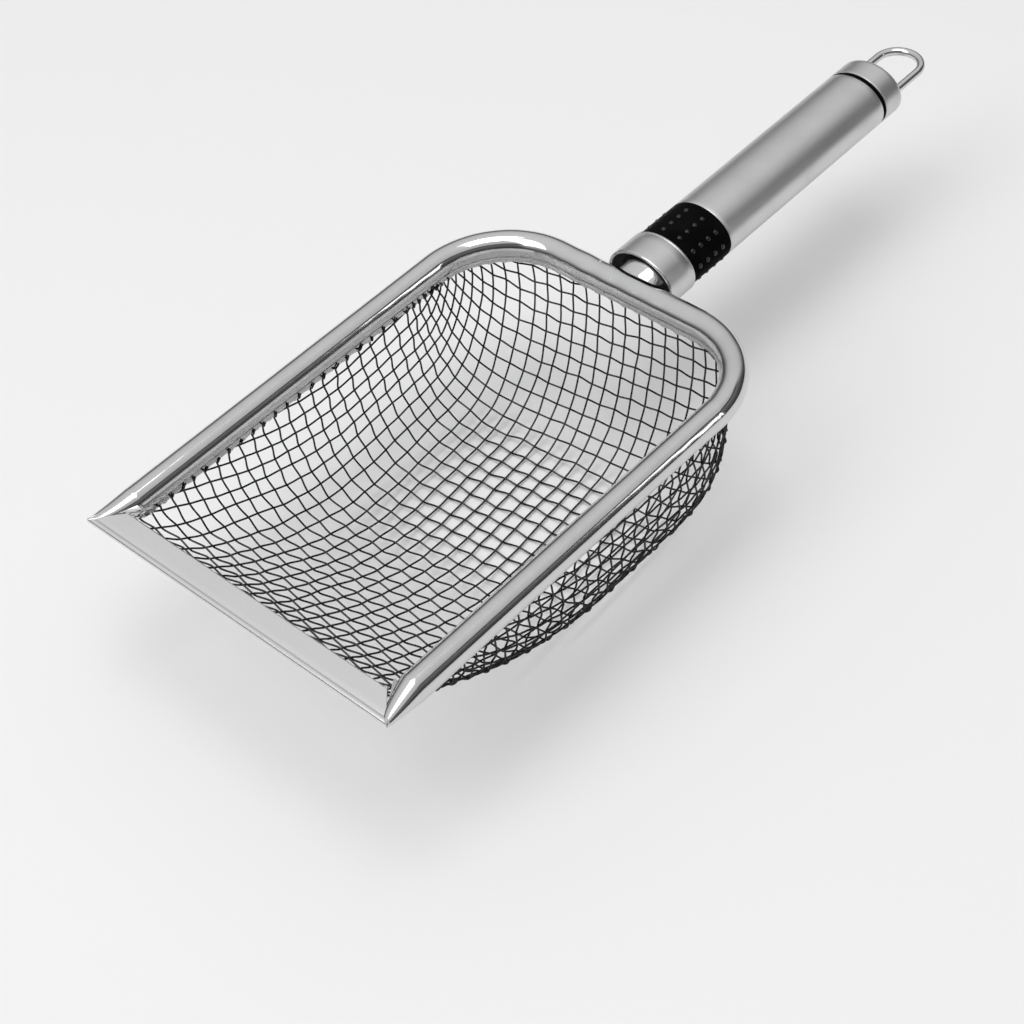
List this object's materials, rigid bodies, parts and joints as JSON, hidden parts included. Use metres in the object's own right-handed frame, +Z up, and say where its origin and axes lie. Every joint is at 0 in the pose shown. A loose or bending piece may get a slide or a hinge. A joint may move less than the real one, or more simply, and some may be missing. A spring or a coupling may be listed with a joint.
{
  "type": "sifting sand scoop",
  "caption": "Hand scoop for sifting beach sand: woven wire basket in a rolled rim with a flat front lip, and an oval handle with a hanging loop.",
  "frame": {"origin": "middle of the outline seen from above, at the level of the lowest point of the basket", "axes": "+Y from the front lip towards the hanging loop, along the handle; +Z up, out of the basket's open top; +X across"},
  "size_m": [0.13, 0.3444, 0.0676],
  "materials": {
    "polished_steel": "polished",
    "satin_steel": "satin",
    "wire_steel": "bright drawn wire",
    "black_rubber": "matt",
    "grey_plastic": "moulded"
  },
  "bodies": {
    "root": {"rim_bead": "polished_steel", "pinch_left": "polished_steel", "pinch_right": "polished_steel", "front_lip": "satin_steel", "mesh_basket": "wire_steel", "weld_lip_left": "polished_steel", "weld_lip_right": "polished_steel", "neck_plate": "polished_steel", "weld_neck_left": "polished_steel", "weld_neck_right": "polished_steel", "ferrule": "satin_steel", "front_plug": "grey_plastic", "grip_ring": "black_rubber", "grip_bumps": "black_rubber", "handle_tube": "satin_steel", "gasket": "black_rubber", "end_cap": "satin_steel", "rear_plug": "grey_plastic", "hanging_loop": "polished_steel"}
  },
  "joints": []
}
